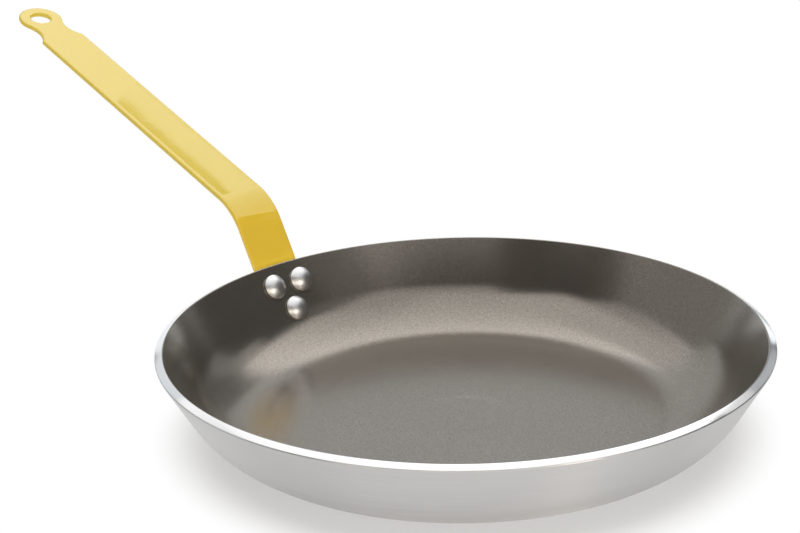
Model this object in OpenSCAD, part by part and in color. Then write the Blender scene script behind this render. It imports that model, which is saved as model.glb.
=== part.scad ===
// Omelette pan: an aluminium dish with a non-stick coating inside, and a bent steel strip
// handle that three solid rivets hold against the outside of the wall.
// Millimetres, +Z up, origin at the centre of the base's underside, handle along +X.

/* [Pan] */
// Outside diameter at the rim, to where its sloping face would meet the wall
pan_d = 320; // [260:1:400]
// Height from the underside of the base to the inner edge of the rim, before its rounding
pan_h = 50; // [46:1:80]
// Thickness of the aluminium
metal_t = 4.5; // [3:0.1:6]
// Angle between the wall and the floor, in degrees
wall_angle = 60; // [52:1:70]
// Inside radius of the corner where the floor turns up into the wall
corner_r = 44; // [25:1:55]
// How far the outer edge of the rim lies below its inner edge
rim_drop = 2; // [1:0.1:3]
// Radius of the rim's two edges
rim_edge_r = 0.7; // [0.3:0.1:1]
// Diameter of the shallow round mark in the middle of the floor
spot_d = 46; // [20:1:90]
// Depth of the round mark
spot_depth = 0.2; // [0.1:0.05:0.6]

/* [Coating] */
// Thickness of the non-stick coating
coat_t = 0.3; // [0.2:0.05:0.5]

/* [Handle] */
// Width of the steel strip
strip_w = 30; // [29:0.5:36]
// Thickness of the steel strip
strip_t = 3; // [2:0.1:4]
// Height above the rim at which the strip starts to bend outward
upright_h = 20; // [8:1:40]
// Radius of the bend, at the strip's upper face
bend_r = 36; // [15:1:60]
// Rise of the long section above the horizontal, in degrees
rise_angle = 19; // [0:1:35]
// Length of the long section, from the bend to its shoulders
grip_len = 195; // [120:1:260]
// Outside diameter of the round eye at the end
eye_d = 28; // [24:1:34]
// Distance from the shoulders to the middle of the eye
eye_reach = 27; // [24:1:34]
// Radius of the hollows between the shoulders and the eye
neck_r = 19; // [14:1:24]
// Diameter of the hanging hole
hang_d = 12.5; // [8:0.5:16]

/* [Rivets] */
// Diameter of the shanks
rivet_d = 6; // [4:0.1:7]
// Gap all round each shank in its holes
rivet_clear = 0.1; // [0.05:0.05:0.2]
// Diameter of the domed heads inside the pan
head_d = 14.2; // [11:0.1:16]
// Height of the domed heads
head_h = 4; // [3:0.1:5]
// Radius of the rounded edge of the domed heads
head_edge_r = 1.2; // [0.5:0.1:1.5]
// Diameter of the closed heads outside
tail_d = 10.5; // [8:0.1:11]
// Height of the closed heads
tail_h = 2; // [1:0.1:3]
// Distance between the two upper rivets, from middle to middle
rivet_pitch = 19; // [17:0.1:19.4]
// Distance of the upper rivets from the rim, down the wall
upper_drop = 12.4; // [11:0.1:14]
// Distance of the lower rivet from the rim, down the wall
lower_drop = 27.8; // [24:0.1:32]

/* [Hidden] */

spin_fn = 360;
arc_fn = 180;
hole_fn = 96;
// How far a cutting shape runs past what it cuts
past = 1;
// How far the circle of a rounding runs past its two edges, so that it crosses them
round_bite = 0.002;
// How far each end of a shank runs into its head
shank_sink = 0.2;
// How far the rounded edge of a domed head is pressed into the coating's surface
head_sink = 0.1;

// The floor, corner and wall are one outline around one corner centre. Each skin, from the
// coating's surface to the handle's outer face, is that outline at its own distance from it.
rim_r = pan_d / 2;
metal_in_r = corner_r + coat_t;
metal_out_r = metal_in_r + metal_t;
strip_out_r = metal_out_r + strip_t;
wall_out = [sin(wall_angle), -cos(wall_angle)];
wall_up = [cos(wall_angle), sin(wall_angle)];
corner_z = metal_out_r;
wall_h = pan_h - rim_drop - corner_z;
corner_x = rim_r - (metal_out_r + wall_h * cos(wall_angle)) / sin(wall_angle);
corner = [corner_x, corner_z];
// Where the wall's straight part starts on a skin, and where it reaches a height
function wall_foot(r) = corner + r * wall_out;
function wall_at(r, z) = wall_foot(r) + wall_up * (z - wall_foot(r)[1]) / wall_up[1];

rim_outer = wall_at(metal_out_r, pan_h - rim_drop);
rim_inner = wall_at(corner_r, pan_h);
rim_face = (rim_outer - rim_inner) / norm(rim_outer - rim_inner);

// A place on the coating, measured from the rim down the wall, and the slope of the wall there
straight_len = norm(rim_inner - wall_foot(corner_r));
function slope_at(drop) = wall_angle - max(0, drop - straight_len) / corner_r * 180 / PI;
function place_at(drop) = drop <= straight_len
    ? rim_inner - wall_up * drop
    : corner + corner_r * [sin(slope_at(drop)), -cos(slope_at(drop))];

// The strip's upper face runs up the wall to the bend, round it, and straight to the shoulders
bend_start = wall_at(metal_out_r, pan_h + upright_h);
bend_centre = bend_start + bend_r * wall_out;
rise_along = [cos(rise_angle), sin(rise_angle)];
rise_normal = [-sin(rise_angle), cos(rise_angle)];
bend_end = bend_centre + bend_r * rise_normal;
bend_out = (rise_normal - wall_out) / (1 - rise_normal * wall_out);
shoulder = bend_end + grip_len * rise_along;
half_w = strip_w / 2;
// The lower end is a half circle around the lower rivet, and this is past its furthest point
tab_reach = lower_drop + half_w + past;

// Each hollow of the neck starts at a shoulder and runs out just inside the edge of the eye
eye_r = eye_d / 2;
neck_bite = 0.02;
eye_gap = neck_r + eye_r - neck_bite;
shoulder_gap = norm([eye_reach, half_w]);
neck_along = (neck_r ^ 2 - eye_gap ^ 2 + shoulder_gap ^ 2) / (2 * shoulder_gap);
neck_aside = sqrt(neck_r ^ 2 - neck_along ^ 2);
neck = [0, half_w] + (neck_along * [eye_reach, -half_w] + neck_aside * [half_w, eye_reach]) / shoulder_gap;
eye_touch = [eye_reach, 0] + eye_r * (neck - [eye_reach, 0]) / eye_gap;

stack_t = coat_t + metal_t + strip_t;
pair_turn = asin(rivet_pitch / 2 / place_at(upper_drop)[0]);
// Radius of the ball whose cap has this edge diameter and height
function ball_r(edge_d, h) = ((edge_d / 2) ^ 2 + h ^ 2) / (2 * h);

// A wedge of the plane between two angles, out to at least a far radius
module wedge(from, to, far) {
    half = (to - from) / 2;
    polygon([[0, 0], far * [cos(from), sin(from)],
        far / cos(half) * [cos(from + half), sin(from + half)], far * [cos(to), sin(to)]]);
}

// What lies between the rounding of radius r and the sharp corner p of edges along a and b
module beyond_round(p, a, b, r) {
    half = acos(a * b) / 2;
    inward = (a + b) / norm(a + b);
    centre = p + inward * r / sin(half);
    difference() {
        polygon([p - inward * past, p + a * r / tan(half), centre, p + b * r / tan(half)]);
        translate(centre) circle(r = r + round_bite, $fn = arc_fn);
    }
}

// All that lies inside one skin of the pan, up to a height
module inside_skin(r, top) {
    sharp = wall_at(r, corner_z - r);
    difference() {
        polygon([[0, sharp[1]], sharp, wall_at(r, top), [0, top]]);
        beyond_round(sharp, [-1, 0], wall_up, r);
    }
}

// The round mark as it lies in one skin of the floor
module spot(r) {
    translate([0, corner_z - r - spot_depth]) square([spot_d / 2 + r - corner_r, spot_depth + past]);
}

// Outline of all that is below the sloping face of the rim, with its two edges rounded
module below_rim() {
    difference() {
        polygon([rim_inner - rim_r * rim_face, rim_outer + rim_r * rim_face,
            [2 * pan_d, -past], [0, -past], [0, 2 * pan_d]]);
        beyond_round(rim_outer, -wall_up, -rim_face, rim_edge_r);
        beyond_round(rim_inner, -wall_up, rim_face, rim_edge_r);
    }
}

// A shape spun around the pan's axis, with its seam on the side away from the handle
module spun() {
    rotate([0, 0, 180]) rotate_extrude($fn = spin_fn) children();
}

// Puts a shape at a rivet: its +Z points out of the coating and its +X up the wall
module at_rivet(drop, turn) {
    rotate([0, 0, turn]) translate([place_at(drop)[0], 0, place_at(drop)[1]])
        rotate([0, -slope_at(drop), 0]) children();
}

module rivet_holes() {
    for (seat = [[upper_drop, pair_turn], [upper_drop, -pair_turn], [lower_drop, 0]])
        at_rivet(seat[0], seat[1]) translate([0, 0, -stack_t - past])
            cylinder(d = rivet_d + 2 * rivet_clear, h = stack_t + 2 * past, $fn = hole_fn);
}

module pan_body() {
    color([0.80, 0.80, 0.79]) difference() {
        spun() intersection() {
            difference() {
                inside_skin(metal_out_r, pan_h + past);
                inside_skin(metal_in_r, pan_h + 2 * past);
                spot(metal_in_r);
            }
            below_rim();
        }
        rivet_holes();
    }
}

module nonstick_coating() {
    color([0.38, 0.35, 0.32]) difference() {
        spun() intersection() {
            difference() {
                union() {
                    inside_skin(metal_in_r, pan_h + past);
                    spot(metal_in_r);
                }
                inside_skin(corner_r, pan_h + 2 * past);
                spot(corner_r);
            }
            below_rim();
        }
        rivet_holes();
    }
}

// All that lies inside the strip, seen from the side, or above it, at a depth from its upper
// face: up the wall from the corner, back round the bend, and out past the end of the eye
module inside_strip(depth) {
    r = metal_out_r + depth;
    bend = bend_r - depth;
    low_sharp = wall_at(r, corner_z - r);
    bend_sharp = bend_centre + bend * bend_out;
    end = bend_sharp + (grip_len + eye_reach + eye_d + bend_r) * rise_along;
    top = end[1] + strip_t;
    difference() {
        union() {
            polygon([[0, low_sharp[1]], low_sharp, bend_sharp, end, [end[0], top], [0, top]]);
            beyond_round(bend_sharp, -wall_up, rise_along, bend);
        }
        beyond_round(low_sharp, [-1, 0], wall_up, r);
    }
}

// The strip seen from the side
module strip_side() {
    intersection() {
        difference() {
            inside_strip(strip_t);
            inside_strip(0);
        }
        translate(corner) wedge(slope_at(tab_reach) - 90, wall_angle, 2 * pan_d);
    }
}

// The strip seen from above its long section, with X from the shoulders towards the eye
module strip_plan() {
    start = -grip_len - bend_end[0];
    difference() {
        polygon([[start, -half_w], [past, -half_w], [eye_touch[0], -eye_touch[1]],
            [eye_reach, 0], eye_touch, [past, half_w], [start, half_w]]);
        for (side = [-1, 1])
            translate([neck[0], side * neck[1]]) circle(r = neck_r, $fn = arc_fn);
    }
    translate([eye_reach, 0]) circle(r = eye_r, $fn = arc_fn);
}

module at_shoulder() {
    translate([shoulder[0], 0, shoulder[1]]) rotate([0, -rise_angle, 0]) children();
}

// What lies below the half circle of the strip's lower end
module below_tab() {
    at_rivet(lower_drop, 0) difference() {
        translate([-pan_h, -strip_w, -stack_t - half_w]) cube([pan_h, 2 * strip_w, stack_t + half_w]);
        translate([0, 0, -stack_t - strip_w])
            cylinder(r = half_w + round_bite, h = stack_t + 2 * strip_w, $fn = arc_fn);
    }
}

module handle() {
    color([0.90, 0.79, 0.38]) difference() {
        intersection() {
            spun() strip_side();
            at_shoulder() translate([0, 0, -pan_d]) linear_extrude(2 * pan_d) strip_plan();
        }
        below_tab();
        at_shoulder() translate([eye_reach, 0, -strip_t - past])
            cylinder(d = hang_d, h = strip_t + 2 * past, $fn = hole_fn);
        rivet_holes();
    }
}

// The right half of a ball's outline, with the top of the ball at Y = top
module half_ball(r, top) {
    intersection() {
        translate([0, top - r]) circle(r = r, $fn = arc_fn);
        translate([0, top - 2 * r]) square([r + past, 2 * r + past]);
    }
}

// Half of a domed head's outline, with Y = 0 at the coating's surface
module head_side() {
    intersection() {
        half_ball(ball_r(head_d, head_h - head_edge_r), head_h);
        difference() {
            translate([0, -head_sink]) square([head_d / 2, head_h + past]);
            beyond_round([head_d / 2, -head_sink], [-1, 0], [0, 1], head_edge_r);
        }
    }
}

// A rivet fills its place from the dome inside to the closed head outside. The two heads take
// the round of the wall that they are pressed against.
module rivet(drop, turn) {
    color([0.84, 0.84, 0.85]) union() {
        at_rivet(drop, turn) translate([0, 0, -stack_t - shank_sink])
            cylinder(d = rivet_d, h = stack_t + 2 * shank_sink, $fn = hole_fn);
        intersection() {
            at_rivet(drop, turn) rotate_extrude($fn = hole_fn) head_side();
            spun() inside_skin(corner_r, pan_h + head_d);
        }
        difference() {
            at_rivet(drop, turn) translate([0, 0, -stack_t]) mirror([0, 0, 1])
                rotate_extrude($fn = hole_fn) half_ball(ball_r(tail_d, tail_h), tail_h);
            spun() inside_skin(strip_out_r, pan_h + head_d);
        }
    }
}

pan_body();
nonstick_coating();
handle();
rivet(upper_drop, pair_turn);  // rivet_upper_left
rivet(upper_drop, -pair_turn);  // rivet_upper_right
rivet(lower_drop, 0);  // rivet_lower
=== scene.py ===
"""Omelette pan: a spun aluminium dish, its non-stick coating, a bent strip handle in yellow enamel
and three solid rivets, on a pale studio floor.

Metres, +Z up, the origin at the centre of the base's underside, the handle along +X.
"""

from math import acos, asin, atan2, cos, pi, radians, sin, sqrt, tan

import bmesh
import bpy
from bpy.props import FloatProperty, FloatVectorProperty, IntProperty, PointerProperty
from mathutils import Matrix, Vector


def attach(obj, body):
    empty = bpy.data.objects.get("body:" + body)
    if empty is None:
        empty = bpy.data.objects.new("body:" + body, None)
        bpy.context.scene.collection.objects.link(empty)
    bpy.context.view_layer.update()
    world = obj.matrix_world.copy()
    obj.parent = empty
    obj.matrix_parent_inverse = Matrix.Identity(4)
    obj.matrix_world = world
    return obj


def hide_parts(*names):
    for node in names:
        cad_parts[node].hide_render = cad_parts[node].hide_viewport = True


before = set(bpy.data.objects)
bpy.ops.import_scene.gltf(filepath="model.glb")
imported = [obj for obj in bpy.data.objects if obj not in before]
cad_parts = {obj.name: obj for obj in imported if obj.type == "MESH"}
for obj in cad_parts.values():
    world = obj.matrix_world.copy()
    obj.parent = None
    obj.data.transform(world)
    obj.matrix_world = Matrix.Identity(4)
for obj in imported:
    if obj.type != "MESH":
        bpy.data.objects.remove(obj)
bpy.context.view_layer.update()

bl_info = {
    "name": "Omelette pan",
    "version": (1, 0, 0),
    "blender": (4, 5, 0),
    "location": "3D View > Sidebar > Omelette Pan",
    "description": "Models an aluminium omelette pan with a riveted strip handle",
    "category": "Object",
}

MM = 0.001
# Points of an outline closer than this are one point. It also keeps a division by a distance off 0.
MERGE_GAP = 0.001 * MM
UPRIGHT = Vector((0, 0, 1))
SIDEWAYS = Vector((0, 1, 0))


def length(name, text, size):
    return FloatProperty(name=name, description=text, default=size, unit="LENGTH", precision=5)


def angle(name, text, degrees):
    return FloatProperty(name=name, description=text, default=radians(degrees), subtype="ANGLE")


def share(name, text, value):
    return FloatProperty(name=name, description=text, default=value, min=0, max=1, subtype="FACTOR")


def colour(name, text, value):
    return FloatVectorProperty(name=name, description=text, default=value, size=3, min=0, max=1,
                               subtype="COLOR")


class DishSizes(bpy.types.PropertyGroup):
    """Sizes of the aluminium dish and its coating"""

    rim_d: length("Rim", "Outside diameter at the rim, before its rounding", 320 * MM)
    height: length("Height", "Height of the inner edge of the rim above the base", 50 * MM)
    metal: length("Metal", "Thickness of the aluminium", 4.5 * MM)
    coat: length("Coating", "Thickness of the non-stick coating", 0.3 * MM)
    wall: angle("Wall", "Angle between the wall and the floor", 60)
    corner_r: length("Corner", "Inside radius where the floor turns up into the wall", 44 * MM)
    rim_drop: length("Rim drop", "How far the outer edge of the rim lies below its inner edge", 2 * MM)
    rim_edge_r: length("Rim edges", "Radius of the two edges of the rim", 0.7 * MM)
    mark_d: length("Mark", "Diameter of the shallow round mark on the floor", 46 * MM)
    mark_depth: length("Mark depth", "Depth of the round mark", 0.28 * MM)
    mark_slope: length("Mark slope", "Width of the sloping edge of the round mark", 1.8 * MM)
    spin_steps: IntProperty(name="Spin steps", description="Steps of the dish around its axis", default=288)


class HandleSizes(bpy.types.PropertyGroup):
    """Sizes of the strip handle"""

    width: length("Width", "Width of the strip", 30 * MM)
    thick: length("Thickness", "Thickness of the strip", 3 * MM)
    upright: length("Upright", "Height above the rim at which the strip starts to bend", 20 * MM)
    bend_r: length("Bend", "Radius of the bend, at the strip's upper face", 36 * MM)
    rise: angle("Rise", "Rise of the long section above the horizontal", 19)
    grip: length("Grip", "Length of the long section, from the bend to its shoulders", 195 * MM)
    eye_d: length("Eye", "Outside diameter of the round eye at the end", 28 * MM)
    eye_reach: length("Eye reach", "Distance from the shoulders to the middle of the eye", 27 * MM)
    neck_r: length("Neck", "Radius of the hollows between the shoulders and the eye", 19 * MM)
    hole_d: length("Hole", "Diameter of the hanging hole", 12.5 * MM)
    edge_r: length("Edges", "Radius of the enamelled edges", 1.2 * MM)


class RivetSizes(bpy.types.PropertyGroup):
    """Sizes and places of the rivets"""

    shank_d: length("Shank", "Diameter of the shanks", 6 * MM)
    gap: length("Gap", "Gap all round each shank in its holes", 0.1 * MM)
    head_d: length("Head", "Diameter of the domed heads inside the pan", 14.2 * MM)
    head_h: length("Head height", "Height of the domed heads", 4 * MM)
    head_edge_r: length("Head edge", "Radius of the rolled-under edge of the domed heads", 1.2 * MM)
    tail_d: length("Closed head", "Diameter of the closed heads outside", 10.5 * MM)
    tail_h: length("Closed height", "Height of the closed heads", 2 * MM)
    pitch: length("Pitch", "Distance between the two upper rivets", 19 * MM)
    upper_drop: length("Upper drop", "Distance of the upper rivets from the rim, down the wall", 12.4 * MM)
    lower_drop: length("Lower drop", "Distance of the lower rivet from the rim, down the wall", 27.8 * MM)


class FinishColours(bpy.types.PropertyGroup):
    """Colours of the finishes"""

    aluminium: colour("Aluminium", "Brushed outside of the dish", (0.595, 0.59, 0.585))
    polished: colour("Polished rim", "Polished rim of the dish", (0.87, 0.87, 0.87))
    coating: colour("Coating", "Non-stick coating", (0.280, 0.2545, 0.223))
    enamel: colour("Enamel", "Enamel of the handle", (0.815, 0.62, 0.056))
    # Painted light: brighter and more orange than the enamel, standing in for the front light that the
    # handle's upright part below the bend faces
    enamel_painted_front_light: colour("Deep enamel", "Enamel of the handle below its bend", (0.98, 0.68, 0.063))
    rivet: colour("Rivets", "Polished aluminium of the rivets", (0.78, 0.78, 0.78))
    floor: colour("Floor", "Studio floor", (0.90, 0.90, 0.90))


class StageSettings(bpy.types.PropertyGroup):
    """The camera, and the places, levels and colours of the boards"""

    camera_bearing: angle("Camera bearing", "Direction of the camera round the pan, from the handle", 137.38)
    camera_rise: angle("Camera rise", "Height of the camera as an angle above the rim", 21.62)
    camera_reach: length("Camera distance", "From the middle of the rim to the camera", 0.9787)
    aim: FloatVectorProperty(name="Aim", description="Point that the camera looks at", size=3,
                             default=(0.1016, -0.0448, 0.050), subtype="TRANSLATION")
    camera_roll: angle("Camera roll", "Turn of the camera about its own axis", 1.617)
    focal: FloatProperty(name="Lens", description="Focal length on a 36 mm wide sensor", default=84.82)
    room_h: length("Room height", "Height of the overhead lamp and of the ceiling boards round it", 1.35)
    room_reach: length("Room reach", "Distance from the pan to the wall boards, on all four sides", 1.75)
    lamp_front: length("Lamp front", "How far the overhead lamp reaches towards the camera", 0.65)
    lamp_half: length("Lamp half width", "How far the overhead lamp reaches to the left", 1.05)
    lamp_right: length("Lamp right", "How far the overhead lamp reaches to the right", 1.18)
    lamp_level: FloatProperty(name="Lamp level", description="Brightness of the overhead lamp", default=1.1)
    front_level: FloatProperty(name="Front level", description="Brightness of the low lamp behind the camera",
                               default=1.75)
    front_h: length("Front lamp height", "Height of the top of the low lamp behind the camera", 0.9)
    warm: colour("Warm light", "Colour of the light from behind the camera and the side walls' front",
                 (1.0, 0.90, 0.78))
    cool: colour("Cool light", "Colour of the light from the back wall", (0.93, 0.97, 1.0))
    shadow: share("Shadow", "How much white is laid over the shadow under the pan", 0.38)


class PanSettings(bpy.types.PropertyGroup):
    """All that can be changed on the pan"""

    dish: PointerProperty(type=DishSizes)
    handle: PointerProperty(type=HandleSizes)
    rivets: PointerProperty(type=RivetSizes)
    colours: PointerProperty(type=FinishColours)
    stage: PointerProperty(type=StageSettings)


class SideView:
    """The pan seen from the side. Each skin of the wall is one outline round one corner centre,
    at its own distance from it. Points are (out from the axis, up)."""

    def __init__(self, sizes):
        dish, handle, rivets = sizes.dish, sizes.handle, sizes.rivets
        self.wall = dish.wall
        self.out = Vector((sin(dish.wall), -cos(dish.wall)))
        self.up = Vector((cos(dish.wall), sin(dish.wall)))
        self.coat_r = dish.corner_r
        self.metal_in_r = self.coat_r + dish.coat
        self.metal_out_r = self.metal_in_r + dish.metal
        self.stack = dish.coat + dish.metal + handle.thick
        outer_h = dish.height - dish.rim_drop
        straight = (outer_h - self.metal_out_r) * cos(dish.wall)
        corner_x = dish.rim_d / 2 - (self.metal_out_r + straight) / sin(dish.wall)
        self.corner = Vector((corner_x, self.metal_out_r))
        self.rim_outer = self.wall_at(self.metal_out_r, outer_h)
        self.rim_inner = self.wall_at(self.coat_r, dish.height)
        self.rim_along = (self.rim_outer - self.rim_inner).normalized()
        self.seats = self.rivet_seats(rivets)

    def foot(self, skin):
        """Where the wall's straight part starts on a skin"""
        return self.corner + skin * self.out

    def wall_at(self, skin, height):
        foot = self.foot(skin)
        return foot + self.up * (height - foot.y) / self.up.y

    def floor(self, skin):
        """Height of a skin on the flat of the floor"""
        return self.corner.y - skin

    def rivet_seat(self, drop, aside):
        """Place of a rivet on the coating, the slope of the wall there and its turn round the axis"""
        straight = (self.rim_inner - self.foot(self.coat_r)).length
        if drop <= straight:
            place, slope = self.rim_inner - self.up * drop, self.wall
        else:
            slope = self.wall - (drop - straight) / self.coat_r
            place = self.corner + self.coat_r * Vector((sin(slope), -cos(slope)))
        turn = asin(aside / place.x)
        return (Matrix.Rotation(turn, 4, "Z") @ Matrix.Translation((place.x, 0, place.y))
                @ Matrix.Rotation(-slope, 4, "Y"))

    def rivet_seats(self, rivets):
        return {
            "left": self.rivet_seat(rivets.upper_drop, rivets.pitch / 2),
            "right": self.rivet_seat(rivets.upper_drop, -rivets.pitch / 2),
            "lower": self.rivet_seat(rivets.lower_drop, 0),
        }


def deselect():
    if bpy.context.mode != "OBJECT":
        bpy.ops.object.mode_set(mode="OBJECT")
    bpy.ops.object.select_all(action="DESELECT")


def pick(piece):
    """Makes one piece the active one, and the only one that is selected"""
    deselect()
    piece.select_set(True)
    bpy.context.view_layer.objects.active = piece


def edit(piece):
    """Opens one piece for editing, with all of it selected"""
    pick(piece)
    bpy.ops.object.mode_set(mode="EDIT")
    bpy.ops.mesh.select_mode(type="VERT")
    bpy.ops.mesh.select_all(action="SELECT")


def close_edit():
    bpy.ops.object.mode_set(mode="OBJECT")


def select_points(piece, test):
    """Selects the points of a piece in edit mode whose place passes a test"""
    mesh = bmesh.from_edit_mesh(piece.data)
    for point in mesh.verts:
        point.select = test(point.co)
    mesh.select_flush_mode()
    bmesh.update_edit_mesh(piece.data)


class Outline:
    """A line drawn by extruding its last point, along straights and round arcs"""

    def __init__(self, name, start):
        deselect()
        bpy.ops.mesh.primitive_plane_add(size=MM, location=start)
        self.piece = bpy.context.object
        self.piece.name = name
        self.piece.data.name = name
        bpy.ops.object.transform_apply(location=True, rotation=False, scale=False)
        edit(self.piece)
        bpy.ops.mesh.merge(type="CENTER")
        self.at = Vector(start)

    def line(self, to):
        to = Vector(to)
        bpy.ops.mesh.extrude_vertices_move(TRANSFORM_OT_translate={"value": to - self.at})
        self.at = to

    def arc(self, centre, turn, axis, steps):
        """Goes round a centre, anticlockwise as seen against the axis"""
        centre = Vector(centre)
        bpy.ops.mesh.spin(steps=steps, angle=-turn, center=centre, axis=axis)
        self.at = centre + Matrix.Rotation(turn, 3, axis) @ (self.at - centre)


class SideOutline(Outline):
    """An outline in the upright plane through the handle, with points as (out, up)"""

    def __init__(self, name, start):
        super().__init__(name, (start[0], 0, start[1]))

    def line(self, to):
        super().line((to[0], 0, to[1]))

    def arc_to(self, centre, to, steps):
        """Goes the short way round a centre to the direction of a point"""
        start = Vector((self.at.x, self.at.z)) - Vector(centre)
        end = Vector(to) - Vector(centre)
        turn = atan2(start.x * end.y - start.y * end.x, start.dot(end))
        self.arc((centre[0], 0, centre[1]), -turn, SIDEWAYS, steps)

    def spin_round(self, steps):
        """Spins the outline round the upright axis and closes it"""
        bpy.ops.mesh.select_all(action="SELECT")
        bpy.ops.mesh.spin(steps=steps, angle=2 * pi, center=(0, 0, 0), axis=UPRIGHT)
        bpy.ops.mesh.select_all(action="SELECT")
        bpy.ops.mesh.remove_doubles(threshold=MERGE_GAP)
        bpy.ops.mesh.normals_make_consistent(inside=False)
        close_edit()
        return self.piece


DRILL_STEPS = 48
# Edges that turn by more degrees than this stay sharp: on the dish and its coating, and on the
# handle and the rivets
DISH_CREASE = 35
CREASE = 40


def modify(piece, kind, **settings):
    """Adds a modifier with its settings and applies it"""
    pick(piece)
    modifier = piece.modifiers.new(kind.title(), kind)
    for name, value in settings.items():
        setattr(modifier, name, value)
    bpy.ops.object.modifier_apply(modifier=modifier.name)


def drill(piece, seats, hole_d, depth):
    """Drills round holes through a piece, each along the Z axis of its seat"""
    for seat in seats:
        deselect()
        bpy.ops.mesh.primitive_cylinder_add(vertices=DRILL_STEPS, radius=hole_d / 2, depth=2 * depth)
        cutter = bpy.context.object
        cutter.matrix_world = seat
        modify(piece, "BOOLEAN", operation="DIFFERENCE", solver="EXACT", object=cutter)
        bpy.data.objects.remove(cutter)


def drill_for_rivets(piece, sizes):
    """Drills the holes for the three shanks through a piece that lies along the wall"""
    view, rivets = SideView(sizes), sizes.rivets
    drill(piece, view.seats.values(), rivets.shank_d + 2 * rivets.gap, 2 * view.stack)


def smooth(piece, limit):
    """Shades a piece smooth, apart from edges that turn by more than a limit in degrees"""
    pick(piece)
    bpy.ops.object.shade_smooth_by_angle(angle=radians(limit))


def rim_rounding(view, dish, corner, towards):
    """Centre of a rim edge's rounding, and how far from the sharp corner its ends lie"""
    half = acos(-view.up.dot(towards)) / 2
    centre = corner + dish.rim_edge_r / sin(half) * (towards - view.up).normalized()
    return centre, dish.rim_edge_r / tan(half)


def coating_edge(view, dish):
    """Where the boundary between coating and metal comes out in the rounding of the rim"""
    centre, _ = rim_rounding(view, dish, view.rim_inner, view.rim_along)
    inward = dish.rim_edge_r - dish.coat
    return centre - inward * view.out + sqrt(dish.rim_edge_r ** 2 - inward ** 2) * view.up


CORNER_STEPS = 26
RIM_STEPS = 6
# Share of the mark's depth that is taken up where its slope starts, and again where it ends
MARK_EASE = 0.1


def model_dish(sizes):
    dish, view = sizes.dish, SideView(sizes)
    outer, outer_end = rim_rounding(view, dish, view.rim_outer, -view.rim_along)
    inner, inner_end = rim_rounding(view, dish, view.rim_inner, view.rim_along)
    mark_r = dish.mark_d / 2 + dish.coat
    floor = view.floor(view.metal_in_r)

    outline = SideOutline("dish", (0, 0))
    outline.line((view.corner.x / 2, 0))
    outline.line((view.corner.x, 0))
    outline.arc_to(view.corner, view.foot(view.metal_out_r), CORNER_STEPS)
    outline.line(view.rim_outer - outer_end * view.up)
    outline.arc_to(outer, view.rim_outer - outer_end * view.rim_along, RIM_STEPS)
    outline.line(view.rim_inner + inner_end * view.rim_along)
    outline.arc_to(inner, coating_edge(view, dish), RIM_STEPS)
    outline.line(view.foot(view.metal_in_r))
    outline.arc_to(view.corner, (view.corner.x, floor), CORNER_STEPS)
    outline.line((mark_r, floor))
    outline.line((mark_r - dish.mark_slope, floor - dish.mark_depth))
    outline.line((0, floor - dish.mark_depth))
    piece = outline.spin_round(dish.spin_steps)
    drill_for_rivets(piece, sizes)
    smooth(piece, DISH_CREASE)
    return piece


def model_coating(sizes):
    dish, view = sizes.dish, SideView(sizes)
    inner, inner_end = rim_rounding(view, dish, view.rim_inner, view.rim_along)
    mark_r = dish.mark_d / 2
    under = view.floor(view.metal_in_r)
    floor = view.floor(view.coat_r)

    outline = SideOutline("inner_coating", (0, under - dish.mark_depth))
    outline.line((mark_r + dish.coat - dish.mark_slope, under - dish.mark_depth))
    outline.line((mark_r + dish.coat, under))
    outline.line((view.corner.x, under))
    outline.arc_to(view.corner, view.foot(view.metal_in_r), CORNER_STEPS)
    outline.line(coating_edge(view, dish))
    outline.arc_to(inner, view.rim_inner - inner_end * view.up, RIM_STEPS)
    outline.line(view.foot(view.coat_r))
    outline.arc_to(view.corner, (view.corner.x, floor), CORNER_STEPS)
    outline.line((mark_r + dish.mark_slope, floor))
    outline.line((mark_r, floor - dish.mark_depth * MARK_EASE))
    outline.line((mark_r - dish.mark_slope, floor - dish.mark_depth * (1 - MARK_EASE)))
    outline.line((mark_r - 2 * dish.mark_slope, floor - dish.mark_depth))
    outline.line((0, floor - dish.mark_depth))
    piece = outline.spin_round(dish.spin_steps)
    drill_for_rivets(piece, sizes)
    smooth(piece, DISH_CREASE)
    return piece


class Blank:
    """The strip before it is bent, seen from above, with X = 0 where the wall's straight part
    starts. Its upper face is the one that lies against the wall."""

    def __init__(self, sizes):
        handle, rivets, view = sizes.handle, sizes.rivets, SideView(sizes)
        self.half = handle.width / 2
        bend_start = view.wall_at(view.metal_out_r, sizes.dish.height + handle.upright)
        straight = (view.rim_inner - view.foot(view.coat_r)).length
        below = max(0, rivets.lower_drop - straight) / view.coat_r
        self.tab = -below * view.metal_out_r
        self.start = self.tab - self.half
        self.bend = (bend_start - view.foot(view.metal_out_r)).length
        self.turn = sizes.dish.wall - handle.rise
        self.bend_end = self.bend + handle.bend_r * self.turn
        self.shoulder = self.bend_end + handle.grip
        self.eye = self.shoulder + handle.eye_reach
        self.neck, self.touch = self.neck_places(handle)

    def neck_places(self, handle):
        """Centre of the neck's hollow, and where it meets the eye"""
        shoulder = Vector((self.shoulder, self.half))
        eye = Vector((self.eye, 0))
        reach = (eye - shoulder).length
        along = (eye - shoulder) / reach
        aside = Vector((-along.y, along.x))
        eye_gap = handle.neck_r + handle.eye_d / 2
        share_along = (handle.neck_r ** 2 - eye_gap ** 2 + reach ** 2) / (2 * reach)
        neck = shoulder + share_along * along + sqrt(handle.neck_r ** 2 - share_along ** 2) * aside
        return neck, eye + (neck - eye) * (handle.eye_d / 2) / eye_gap


def turn_between(centre, start, end):
    """The angle from one point to another round a centre, anticlockwise"""
    a, b = start - centre, end - centre
    return atan2(a.x * b.y - a.y * b.x, a.dot(b))


FOOT_STEPS = 28
NECK_STEPS = 12
EYE_STEPS = 36
EDGE_STEPS = 4
# Edges of the blank that turn by more degrees than this are rounded
ROUNDED_EDGE = 60


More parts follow.
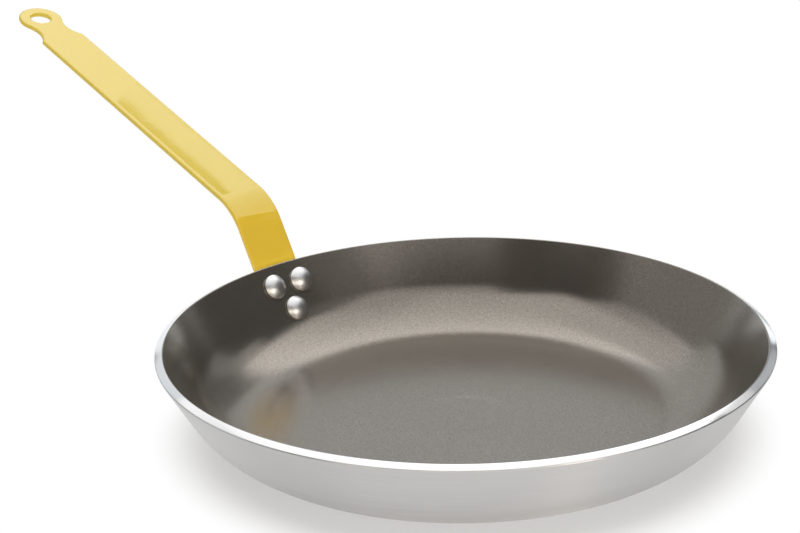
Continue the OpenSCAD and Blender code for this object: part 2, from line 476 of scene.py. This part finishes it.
def cut_blank(sizes):
    """Draws the flat strip, gives it its thickness and hanging hole, and rounds its edges"""
    handle, blank = sizes.handle, Blank(sizes)
    half, neck, touch = blank.half, blank.neck, blank.touch
    shoulder, eye = Vector((blank.shoulder, half)), Vector((blank.eye, 0))
    neck_turn = turn_between(neck, shoulder, touch)
    eye_turn = 2 * turn_between(eye, Vector((blank.eye + half, 0)), touch)

    outline = Outline("strip_handle", (blank.tab, half, 0))
    outline.arc((blank.tab, 0, 0), pi, UPRIGHT, FOOT_STEPS)
    outline.line((shoulder.x, -half, 0))
    outline.arc((neck.x, -neck.y, 0), -neck_turn, UPRIGHT, NECK_STEPS)
    outline.arc((eye.x, 0, 0), eye_turn, UPRIGHT, EYE_STEPS)
    outline.arc((neck.x, neck.y, 0), -neck_turn, UPRIGHT, NECK_STEPS)
    outline.line((blank.tab, half, 0))
    bpy.ops.mesh.select_all(action="SELECT")
    bpy.ops.mesh.remove_doubles(threshold=MERGE_GAP)
    bpy.ops.mesh.edge_face_add()
    bpy.ops.mesh.extrude_region_move(TRANSFORM_OT_translate={"value": (0, 0, -handle.thick)})
    bpy.ops.mesh.select_all(action="SELECT")
    bpy.ops.mesh.normals_make_consistent(inside=False)
    close_edit()
    drill(outline.piece, [Matrix.Translation((blank.eye, 0, 0))], handle.hole_d, 2 * handle.thick)
    edit(outline.piece)
    bpy.ops.mesh.select_mode(type="EDGE")
    bpy.ops.mesh.select_all(action="DESELECT")
    bpy.ops.mesh.edges_select_sharp(sharpness=radians(ROUNDED_EDGE))
    bpy.ops.mesh.bevel(offset=handle.edge_r, segments=EDGE_STEPS, affect="EDGES", clamp_overlap=False)
    close_edit()
    return outline.piece


def even_places(start, end, most):
    """Places between two ends, both included, no further apart than a limit"""
    count = max(1, int(abs(end - start) / most) + 1)
    return [start + (end - start) * step / count for step in range(count + 1)]


# Widest spacing of the cuts, round a bend, along a straight, and across the strip
BEND_CUT = 1.3 * MM
GRIP_CUT = 12 * MM
LENGTHWISE_CUT = 3 * MM


def score(piece, sizes):
    """Cuts the faces of the flat strip into short pieces, so that it can be bent"""
    blank = Blank(sizes)
    across = (even_places(blank.start, 0, BEND_CUT) + even_places(0, blank.bend, GRIP_CUT)
              + even_places(blank.bend, blank.bend_end, BEND_CUT)
              + even_places(blank.bend_end, blank.eye + blank.half, GRIP_CUT))
    lengthwise = even_places(-blank.half, blank.half, LENGTHWISE_CUT)
    edit(piece)
    for place in across:
        bpy.ops.mesh.select_all(action="SELECT")
        bpy.ops.mesh.bisect(plane_co=(place, 0, 0), plane_no=(1, 0, 0))
    for place in lengthwise[1:-1]:
        bpy.ops.mesh.select_all(action="SELECT")
        bpy.ops.mesh.bisect(plane_co=(0, place, 0), plane_no=(0, 1, 0))
    bpy.ops.mesh.select_all(action="SELECT")
    bpy.ops.mesh.remove_doubles(threshold=MERGE_GAP)
    close_edit()


def turn_selected(centre, turn):
    """Turns what is selected about the Y axis through a place, anticlockwise as seen against it"""
    bpy.ops.transform.rotate(value=-turn, orient_axis="Y", orient_type="GLOBAL", center_override=centre)


def bend(piece, start, end, centre_z):
    """Bends the flat strip over a former: what lies between start and end takes its round,
    and what lies beyond swings with it"""
    side = 1 if end > start else -1
    cuts = even_places(start, end, BEND_CUT)
    stride = abs(cuts[1] - cuts[0])
    edit(piece)
    for cut in reversed(cuts[:-1]):
        select_points(piece, lambda place: side * (place.x - cut) > stride / 2)
        bpy.ops.transform.translate(value=(-side * stride, 0, 0))
        turn_selected((cut, 0, centre_z), stride / abs(centre_z))
    close_edit()


def model_handle(sizes):
    handle, view, blank = sizes.handle, SideView(sizes), Blank(sizes)
    piece = cut_blank(sizes)
    score(piece, sizes)
    bend(piece, blank.bend, blank.bend_end, -handle.bend_r)
    bend(piece, 0, blank.start, view.metal_out_r)
    foot = view.foot(view.metal_out_r)
    edit(piece)
    turn_selected((0, 0, 0), -sizes.dish.wall)
    bpy.ops.transform.translate(value=(foot.x, 0, foot.y))
    close_edit()
    # The press gives the strip the round of the wall across its width
    for point in piece.data.vertices:
        point.co.x = sqrt(point.co.x ** 2 - point.co.y ** 2)
    drill_for_rivets(piece, sizes)
    smooth(piece, CREASE)
    modify(piece, "WEIGHTED_NORMAL", keep_sharp=True)
    return piece


RIVET_STEPS = 72
DOME_STEPS = 16
ROLL_STEPS = 6
TAIL_STEPS = 10
# How far each head's rim is pressed into what it holds, so that no gap shows round it
HEAD_SINK = 0.15 * MM


def ball_r(edge_d, height):
    """Radius of the ball whose cap has this edge diameter and height"""
    return ((edge_d / 2) ** 2 + height ** 2) / (2 * height)


def model_rivet(sizes, name, seat):
    """Spins one rivet upright, its domed head at the top, and puts it in its seat"""
    rivets, view = sizes.rivets, SideView(sizes)
    head_r, tail_r, shank_r = rivets.head_d / 2, rivets.tail_d / 2, rivets.shank_d / 2
    roll_r = rivets.head_edge_r
    dome = ball_r(rivets.head_d, rivets.head_h - roll_r)
    tail = ball_r(rivets.tail_d, rivets.tail_h)
    outside = -view.stack

    outline = SideOutline(name, (0, rivets.head_h))
    outline.arc_to((0, rivets.head_h - dome), (head_r, roll_r), DOME_STEPS)
    outline.line((head_r, roll_r - HEAD_SINK))
    outline.arc_to((head_r - roll_r, roll_r - HEAD_SINK), (head_r - roll_r, -HEAD_SINK), ROLL_STEPS)
    outline.line((shank_r, -HEAD_SINK))
    outline.line((shank_r, outside + HEAD_SINK))
    outline.line((tail_r, outside + HEAD_SINK))
    outline.line((tail_r, outside))
    outline.arc_to((0, outside - rivets.tail_h + tail), (0, outside - rivets.tail_h), TAIL_STEPS)
    piece = outline.spin_round(RIVET_STEPS)
    piece.matrix_world = seat
    pick(piece)
    bpy.ops.object.transform_apply(location=True, rotation=True, scale=True)
    smooth(piece, CREASE)
    return piece


class Value:
    """A number that varies over a surface. Sums on it add Math nodes."""

    def __init__(self, finish, socket):
        self.finish = finish
        self.socket = socket

    def math(self, operation, first, second=None):
        sockets = {0: first} if second is None else {0: first, 1: second}
        return self.finish.node("ShaderNodeMath", {"operation": operation}, sockets)

    def __add__(self, other):
        return self.math("ADD", self, other)

    def __radd__(self, other):
        return self.math("ADD", other, self)

    def __sub__(self, other):
        return self.math("SUBTRACT", self, other)

    def __rsub__(self, other):
        return self.math("SUBTRACT", other, self)

    def __mul__(self, other):
        return self.math("MULTIPLY", self, other)

    def __rmul__(self, other):
        return self.math("MULTIPLY", other, self)

    def __truediv__(self, other):
        return self.math("DIVIDE", self, other)

    def __rtruediv__(self, other):
        return self.math("DIVIDE", other, self)

    def root(self):
        return self.math("SQRT", self)


class Finish:
    """A material being put together from nodes"""

    def __init__(self, name, tree=None):
        if tree is None:
            self.material = bpy.data.materials.new(name)
            self.material.use_nodes = True
            tree = self.material.node_tree
        self.tree = tree
        self.tree.nodes.clear()

    def node(self, kind, settings=None, sockets=None, output=0):
        """Adds a node of a type, sets its settings, then its sockets to values or links"""
        made = self.tree.nodes.new(kind)
        for name, value in (settings or {}).items():
            setattr(made, name, value)
        for name, value in (sockets or {}).items():
            if isinstance(value, Value):
                self.tree.links.new(value.socket, made.inputs[name])
            else:
                made.inputs[name].default_value = value
        return Value(self, made.outputs[output]) if made.outputs else None

    def place(self):
        """The place on the piece, in metres, as a vector and as its three parts"""
        vector = self.node("ShaderNodeTexCoord", output="Object")
        parts = [self.node("ShaderNodeSeparateXYZ", sockets={0: vector}, output=axis) for axis in range(3)]
        return vector, parts

    def vector(self, x, y, z):
        return self.node("ShaderNodeCombineXYZ", sockets={0: x, 1: y, 2: z})

    def stretched(self, vector, scale):
        return self.node("ShaderNodeVectorMath", {"operation": "MULTIPLY"}, {0: vector, 1: scale})

    def noise(self, vector, scale, detail=2.0, rough=0.5):
        return self.node("ShaderNodeTexNoise", sockets={
            "Vector": vector, "Scale": scale, "Detail": detail, "Roughness": rough})

    def between(self, value, low, high, to_low=0.0, to_high=1.0):
        """Carries a stretch of a value smoothly to another stretch"""
        return self.node("ShaderNodeMapRange", {"interpolation_type": "SMOOTHSTEP"}, {
            "Value": value, "From Min": low, "From Max": high, "To Min": to_low, "To Max": to_high})

    def mix(self, factor, one, other):
        """Mixes two colours"""
        return self.node("ShaderNodeMix", {"data_type": "RGBA"}, {0: factor, 6: one, 7: other}, output=2)

    def tint(self, shade, factor):
        """A colour made lighter or darker by a varying factor round 1"""
        grey = self.node("ShaderNodeCombineColor", sockets={0: factor, 1: factor, 2: factor})
        return self.node("ShaderNodeMix", {"data_type": "RGBA", "blend_type": "MULTIPLY"},
                         {0: 1.0, 6: shade, 7: grey}, output=2)

    def bump(self, height, distance):
        return self.node("ShaderNodeBump", sockets={
            "Height": height, "Distance": distance, "Strength": 1.0})

    def surface(self, sockets):
        """Ends the material in one Principled shader with these sockets"""
        shader = self.node("ShaderNodeBsdfPrincipled", sockets=sockets)
        self.node("ShaderNodeOutputMaterial", sockets={"Surface": shader})
        return self.material


def opaque(shade):
    return (*shade, 1.0)


def around(finish, parts):
    """Distance from the pan's axis, and the direction from it as a pair of numbers up to 1"""
    x, y, _ = parts
    reach = (x * x + y * y).root()
    return reach, x / (reach + MERGE_GAP), y / (reach + MERGE_GAP)


# Heights, and distances from the axis, between which the satin wall goes over into the polished rim
POLISH_UP = (47.8 * MM, 48.4 * MM)
POLISH_OUT = (155.0 * MM, 155.6 * MM)
# Heights between which the handle goes over from the brighter, more orange colour below the bend (painted
# light standing in for the front light that the upright part faces) to the enamel's own colour above it
PAINTED_LIGHT_FADE = (70 * MM, 86 * MM)
# Distances from the axis between which the floor goes over into plain white
FLOOR_FADE = (0.132, 0.167)


def brushed_aluminium(colours):
    """Satin aluminium with fine lines turned round the axis, and a polished rim"""
    finish = Finish("brushed_aluminium")
    vector, parts = finish.place()
    z = parts[2]
    reach, east, north = around(finish, parts)
    along = reach + z
    fine = finish.noise(finish.vector(east * 4, north * 4, along * 2600), 1.0, 3.0, 0.6)
    broad = finish.noise(finish.vector(east * 2, north * 2, along * 240), 1.0, 2.0)
    cloud = finish.noise(vector, 26.0, 2.0)
    rim = finish.between(z, *POLISH_UP) * finish.between(reach, *POLISH_OUT)
    satin = 0.40 + 0.12 * (fine - 0.5) + 0.10 * (broad - 0.5) + 0.08 * (cloud - 0.5)
    polished = 0.15 + 0.05 * (cloud - 0.5)
    roughness = satin * (1 - rim) + polished * rim
    brushed = finish.tint(opaque(colours.aluminium), 1 + 0.16 * (fine - 0.5) + 0.10 * (broad - 0.5))
    shade = finish.mix(rim, brushed, opaque(colours.polished))
    normal = finish.bump((1 - rim) * (fine + 0.5 * broad), 0.012 * MM)
    return finish.surface({"Base Color": shade, "Metallic": 1.0, "Roughness": roughness,
                           "Anisotropic": 0.9, "Anisotropic Rotation": 0.25, "Normal": normal})


def speckled_coating(colours):
    """Semi-gloss coating with mica-like grain"""
    finish = Finish("speckled_coating")
    vector, parts = finish.place()
    grain = finish.noise(vector, 1000.0, 2.0, 0.7)
    flakes = finish.noise(vector, 2600.0, 1.0)
    cloud = finish.noise(vector, 18.0, 3.0)
    light = 1 + 0.9 * (grain - 0.5) + 0.6 * (flakes - 0.5) + 0.10 * (cloud - 0.5)
    shade = finish.tint(opaque(colours.coating), light)
    normal = finish.bump(grain + 0.5 * flakes, 0.015 * MM)
    roughness = 0.20 + 0.08 * (cloud - 0.5) + 0.06 * (grain - 0.5)
    return finish.surface({"Base Color": shade, "Metallic": 0.8, "Roughness": roughness, "Normal": normal})


def yellow_enamel(colours):
    """Glossy enamel, a little uneven like poured paint. Below the bend it is painted brighter and more
    orange, as painted light for the front light that the upright part faces
    """
    finish = Finish("yellow_enamel")
    vector, parts = finish.place()
    flow = finish.noise(vector, 60.0, 2.0)
    fine = finish.noise(vector, 420.0, 2.0)
    # The brighter, more orange colour below the bend is painted light, not a different enamel
    above = finish.between(parts[2], *PAINTED_LIGHT_FADE)
    enamel = finish.mix(above, opaque(colours.enamel_painted_front_light), opaque(colours.enamel))
    shade = finish.tint(enamel, 1 + 0.05 * (flow - 0.5))
    normal = finish.bump(flow + 0.12 * fine, 0.012 * MM)
    return finish.surface({"Base Color": shade, "IOR": 1.65, "Roughness": 0.04 + 0.03 * (fine - 0.5),
                           "Normal": normal})


def rivet_metal(colours):
    """Bright aluminium with the mottling and small marks of the rivet set"""
    finish = Finish("bright_rivet")
    vector, _ = finish.place()
    mottle = finish.noise(vector, 700.0, 4.0, 0.6)
    scuff = finish.noise(finish.stretched(vector, (300.0, 1600.0, 500.0)), 1.0, 3.0)
    shade = finish.tint(opaque(colours.rivet), 1 + 0.25 * (mottle - 0.5))
    normal = finish.bump(mottle + 0.6 * scuff, 0.03 * MM)
    return finish.surface({"Base Color": shade, "Metallic": 1.0,
                           "Roughness": 0.36 + 0.16 * (mottle - 0.5), "Normal": normal})


def dress(piece, material, slot, *nodes):
    """Gives a piece its material and puts it in the place of its nodes"""
    piece.data.materials.clear()
    piece.data.materials.append(material)
    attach(piece, "root")
    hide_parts(*nodes)


class OMELETTE_OT_dish(bpy.types.Operator):
    """Spins the aluminium dish from its outline and drills it for the rivets"""

    bl_idname = "omelette_pan.dish"
    bl_label = "Aluminium dish"

    def execute(self, context):
        sizes = context.scene.omelette_pan
        dress(model_dish(sizes), brushed_aluminium(sizes.colours), "bare_aluminium", "pan_body")
        return {"FINISHED"}


class OMELETTE_OT_coating(bpy.types.Operator):
    """Spins the thin skin of coating that lines the dish"""

    bl_idname = "omelette_pan.coating"
    bl_label = "Non-stick coating"

    def execute(self, context):
        sizes = context.scene.omelette_pan
        dress(model_coating(sizes), speckled_coating(sizes.colours), "nonstick", "nonstick_coating")
        return {"FINISHED"}


class OMELETTE_OT_handle(bpy.types.Operator):
    """Cuts the strip handle flat, rounds its edges and bends it"""

    bl_idname = "omelette_pan.handle"
    bl_label = "Strip handle"

    def execute(self, context):
        sizes = context.scene.omelette_pan
        dress(model_handle(sizes), yellow_enamel(sizes.colours), "yellow_coating", "handle")
        return {"FINISHED"}


class OMELETTE_OT_rivets(bpy.types.Operator):
    """Spins the three rivets and puts them in their seats"""

    bl_idname = "omelette_pan.rivets"
    bl_label = "Rivets"

    def execute(self, context):
        sizes = context.scene.omelette_pan
        material = rivet_metal(sizes.colours)
        nodes = {"left": "rivet_upper_left", "right": "rivet_upper_right", "lower": "rivet_lower"}
        for side, seat in SideView(sizes).seats.items():
            dress(model_rivet(sizes, side + "_rivet", seat), material, "rivet_metal", nodes[side])
        return {"FINISHED"}


WHITE = (1.0, 1.0, 1.0)


def glowing(name, level, shade):
    """An even light. At level 1 it looks white, and at level 0 it is a black board."""
    finish = Finish(name)
    light = finish.node("ShaderNodeEmission", sockets={"Color": opaque(shade), "Strength": level})
    finish.node("ShaderNodeOutputMaterial", sockets={"Surface": light})
    return finish.material


def glowing_between(name, start, end, start_level, end_level):
    """A white light that goes smoothly from one level to another between two places"""
    finish = Finish(name)
    vector, _ = finish.place()
    way = (end - start).normalized()
    along = finish.node("ShaderNodeVectorMath", {"operation": "DOT_PRODUCT"}, {0: vector, 1: way},
                        output="Value")
    level = finish.between(along, start.dot(way), end.dot(way), start_level, end_level)
    shade = finish.node("ShaderNodeCombineColor", sockets={0: level, 1: level, 2: level})
    light = finish.node("ShaderNodeEmission", sockets={"Color": shade, "Strength": 1.0})
    finish.node("ShaderNodeOutputMaterial", sockets={"Surface": light})
    return finish.material


def looked_at(finish):
    """1 for a ray that looks at a thing or mirrors it, and 0 for one that gathers light from it"""
    rays = ("Is Camera Ray", "Is Glossy Ray", "Is Transmission Ray")
    seen, mirrored, through = [finish.node("ShaderNodeLightPath", output=ray) for ray in rays]
    return seen + mirrored + through


def floor_material(colours, shadow):
    """Matt floor that keeps the shadow near the pan and goes over into white further out"""
    finish = Finish("floor")
    _, parts = finish.place()
    reach, _, _ = around(finish, parts)
    far = finish.between(reach, *FLOOR_FADE, shadow, 1.0) * looked_at(finish)
    matt = finish.node("ShaderNodeBsdfDiffuse", sockets={"Color": opaque(colours.floor)})
    white = finish.node("ShaderNodeEmission", sockets={"Color": opaque(WHITE), "Strength": 1.0})
    shader = finish.node("ShaderNodeMixShader", sockets={0: far, 1: matt, 2: white})
    finish.node("ShaderNodeOutputMaterial", sockets={"Surface": shader})
    return finish.material


def set_world():
    """White surroundings to look at and to mirror. Matt surfaces are lit by the boards alone."""
    world = bpy.data.worlds.new("studio")
    world.use_nodes = True
    bpy.context.scene.world = world
    finish = Finish("studio", world.node_tree)
    seen = looked_at(finish)
    back = finish.node("ShaderNodeBackground", sockets={"Color": opaque(WHITE), "Strength": seen})
    finish.node("ShaderNodeOutputWorld", sockets={"Surface": back})


class Studio:
    """Places round the pan as the camera sees them: right, back and up from the pan's middle"""

    def __init__(self, stage):
        self.turn = Matrix.Rotation(stage.camera_bearing + pi / 2, 4, "Z")

    def place(self, right, back, up):
        return self.turn @ Vector((right, back, up))

    def add_board(self, name, level, right, back, up, back_level=None, shade=WHITE, turn=0.0):
        """A flat board that the pan mirrors and the camera doesn't see. Each of right, back and up
        is a pair of ends. In the direction that the board faces, its two ends are the same."""
        ends = [sorted(pair) for pair in (right, back, up)]
        middle = Vector([(low + high) / 2 for low, high in ends])
        size = Vector([high - low for low, high in ends])
        if size.z == 0:
            lean, width, depth = Matrix.Identity(4), size.x, size.y
        elif size.y == 0:
            lean, width, depth = Matrix.Rotation(pi / 2, 4, "X"), size.x, size.z
        else:
            lean, width, depth = Matrix.Rotation(pi / 2, 4, "Y"), size.z, size.y
        deselect()
        bpy.ops.mesh.primitive_plane_add(size=1)
        board = bpy.context.object
        board.name = name
        board.matrix_world = (self.turn @ Matrix.Translation(middle) @ Matrix.Rotation(turn, 4, "Z") @ lean
                              @ Matrix.Diagonal((width, depth, 1, 1)))
        bpy.ops.object.transform_apply(location=True, rotation=True, scale=True)
        if back_level is None:
            material = glowing(name, level, shade)
        else:
            near, far = self.place(0, back[0], 0), self.place(0, back[1], 0)
            material = glowing_between(name, near, far, level, back_level)
        board.data.materials.append(material)
        board.visible_camera = False


FLOOR_R = 6
FLOOR_STEPS = 96
# How far the floor lies below the base, so that the two don't fight for the same place
FLOOR_GAP = 0.2 * MM
# How far the black ceiling lies above the lamps, the bar hangs below them, and the card stands
# before the back wall
BOARD_GAP = 0.02
# Half the width of the middle boards
CORE_HALF = 0.35
# How far in front of the lamp the right wall changes to its front part and the ceiling beside it
# starts, and the depth of the weaker strip of ceiling in front of the lamp
SIDE_FRONT = 0.35
STRIP_DEPTH = 0.5
# Height of the feet of the back wall
FOOT_H = 0.45
# Where the right end of the ceiling starts, behind the pan
RIGHT_BACK = 1.0
# A card low on the back wall that the right end of the rim mirrors: its ends right and up
RIM_CARD = ((0.72, 1.02), (0.14, 0.44))
# A bar under the lamps that the handle mirrors as a stripe: its ends right and back, and its turn
# in radians
LAMP_ARM = ((-0.138, 0.117), (1.425, 1.451))
LAMP_ARM_TURN = -0.445
SENSOR_W = 36


class OMELETTE_OT_stage(bpy.types.Operator):
    """Sets up the floor, the surroundings, the lamps and the camera"""

    bl_idname = "omelette_pan.stage"
    bl_label = "Studio"

    def execute(self, context):
        sizes = context.scene.omelette_pan
        self.add_floor(sizes)
        set_world()
        self.add_boards(sizes.stage)
        self.add_camera(context, sizes)
        context.scene.view_settings.view_transform = "Standard"
        return {"FINISHED"}

    def add_floor(self, sizes):
        deselect()
        bpy.ops.mesh.primitive_circle_add(vertices=FLOOR_STEPS, radius=FLOOR_R, fill_type="NGON",
                                          location=(0, 0, -FLOOR_GAP))
        floor = bpy.context.object
        floor.name = "floor"
        floor.data.materials.append(floor_material(sizes.colours, sizes.stage.shadow))

    def add_boards(self, stage):
        """Closes the room round the pan: lamps under a black ceiling, dim side walls, a low lamp
        behind the camera that is brightest at its right and goes on round the corner there, and
        a back wall that is darker to the right"""
        studio = Studio(stage)
        add = studio.add_board
        lamp, front_lamp = stage.lamp_level, stage.front_level
        end, left, right, front = stage.room_reach, -stage.lamp_half, stage.lamp_right, -stage.lamp_front
        core, side_front, ceiling = CORE_HALF, front - SIDE_FRONT, stage.room_h + BOARD_GAP
        top, low, high = (stage.room_h, stage.room_h), (0, stage.front_h), (stage.front_h, ceiling)
        foot, upper, tall = (0, FOOT_H), (FOOT_H, ceiling), (0, ceiling)
        warm, cool = dict(shade=stage.warm), dict(shade=stage.cool)
        card_right, card_up = RIM_CARD
        arm_right, arm_back = LAMP_ARM
        card_back, arm_up = end - BOARD_GAP, stage.room_h - BOARD_GAP
        add("ceiling", 0.0, (-end, end), (-end, end), (ceiling, ceiling))
        add("overhead_left", 1.05 * lamp, (left, -core), (front, end), top)
        add("overhead", 0.95 * lamp, (-core, core), (front, end), top, 1.8 * lamp)
        add("overhead_right", 0.75 * lamp, (core, -left), (front, end), top, 1.8 * lamp)
        add("overhead_edge", 1.2 * lamp, (-left, right), (0, end), top)
        add("left_ceiling", 0.65, (-end, left), (front / 2, end), top, lamp)
        add("right_ceiling", 0.75, (right, end), (RIGHT_BACK, end), top)
        add("right_ceiling_front", 0.22, (-left, end), (side_front, 0), top)
        add("front_strip", 0.5, (-core, -left), (front - STRIP_DEPTH, front), top, 0.8 * lamp)
        add("front_lamp", front_lamp, (-end, -left), (-end, -end), low, **warm)
        add("front_wall", 0.18, (-end, -left), (-end, -end), high, **warm)
        add("window_top", 0.6 * front_lamp, (-left, end), (-end, -end), high, **warm)
        add("window", 3 * front_lamp, (-left, end), (-end, -end), low, **warm)
        add("window_side", 0.7 * front_lamp, (end, end), (-end, side_front), low, **warm)
        add("right_wall_front", 0.15, (end, end), (-end, side_front), high, **warm)
        add("left_wall_front", 0.1, (-end, -end), (-end, front / 2), tall, **warm)
        add("left_wall", 0.42, (-end, -end), (front / 2, end), tall)
        add("right_wall", 0.06, (end, end), (side_front, end), tall)
        add("back_wall_left_foot", 0.3, (-end, left), (end, end), foot, **cool)
        add("back_wall_left", 0.82, (-end, left), (end, end), upper, **cool)
        add("back_wall", 0.83, (left, core), (end, end), upper, **cool)
        add("back_wall_foot_left", 1.0, (left, -core), (end, end), foot, **cool)
        add("back_wall_foot", 1.1, (-core, core), (end, end), foot, **cool)
        add("back_wall_right_foot", 0.35, (core, -left), (end, end), foot, **cool)
        add("back_wall_end_foot", 0.1, (-left, end), (end, end), foot, **cool)
        add("back_wall_right", 0.2, (core, -left), (end, end), upper, **cool)
        add("back_wall_end", 0.5, (-left, end), (end, end), upper, **cool)
        add("rim_card", 1.3, card_right, (card_back, card_back), card_up, **cool)
        add("lamp_arm", 0.45, arm_right, arm_back, (arm_up, arm_up), turn=LAMP_ARM_TURN)

    def add_camera(self, context, sizes):
        stage, dish = sizes.stage, sizes.dish
        place = Studio(stage).place(0, -stage.camera_reach * cos(stage.camera_rise),
                                    dish.height + stage.camera_reach * sin(stage.camera_rise))
        deselect()
        bpy.ops.object.camera_add(location=place)
        camera = context.object
        camera.name = "camera"
        look = (Vector(stage.aim) - place).to_track_quat("-Z", "Y").to_matrix().to_4x4()
        camera.matrix_world = Matrix.Translation(place) @ look @ Matrix.Rotation(-stage.camera_roll, 4, "Z")
        camera.data.lens = stage.focal
        camera.data.sensor_width = SENSOR_W
        context.scene.camera = camera


class OMELETTE_PT_panel(bpy.types.Panel):
    """Lists the steps that make the pan, and its sizes"""

    bl_idname = "OMELETTE_PT_panel"
    bl_label = "Omelette Pan"
    bl_space_type = "VIEW_3D"
    bl_region_type = "UI"
    bl_category = "Omelette Pan"

    def draw(self, context):
        settings = context.scene.omelette_pan
        for step in STEPS:
            self.layout.operator(step.bl_idname)
        for group in (settings.dish, settings.handle, settings.rivets, settings.colours, settings.stage):
            box = self.layout.box()
            for name in group.__annotations__:
                box.prop(group, name)


STEPS = (OMELETTE_OT_dish, OMELETTE_OT_coating, OMELETTE_OT_handle, OMELETTE_OT_rivets, OMELETTE_OT_stage)
GROUPS = (DishSizes, HandleSizes, RivetSizes, FinishColours, StageSettings, PanSettings)


def register():
    for group in (*GROUPS, *STEPS, OMELETTE_PT_panel):
        bpy.utils.register_class(group)
    bpy.types.Scene.omelette_pan = PointerProperty(type=PanSettings)


def unregister():
    del bpy.types.Scene.omelette_pan
    for group in reversed((*GROUPS, *STEPS, OMELETTE_PT_panel)):
        bpy.utils.unregister_class(group)


def main():
    register()
    bpy.ops.omelette_pan.dish()
    bpy.ops.omelette_pan.coating()
    bpy.ops.omelette_pan.handle()
    bpy.ops.omelette_pan.rivets()
    bpy.ops.omelette_pan.stage()
    deselect()


if __name__ == "__main__":
    main()
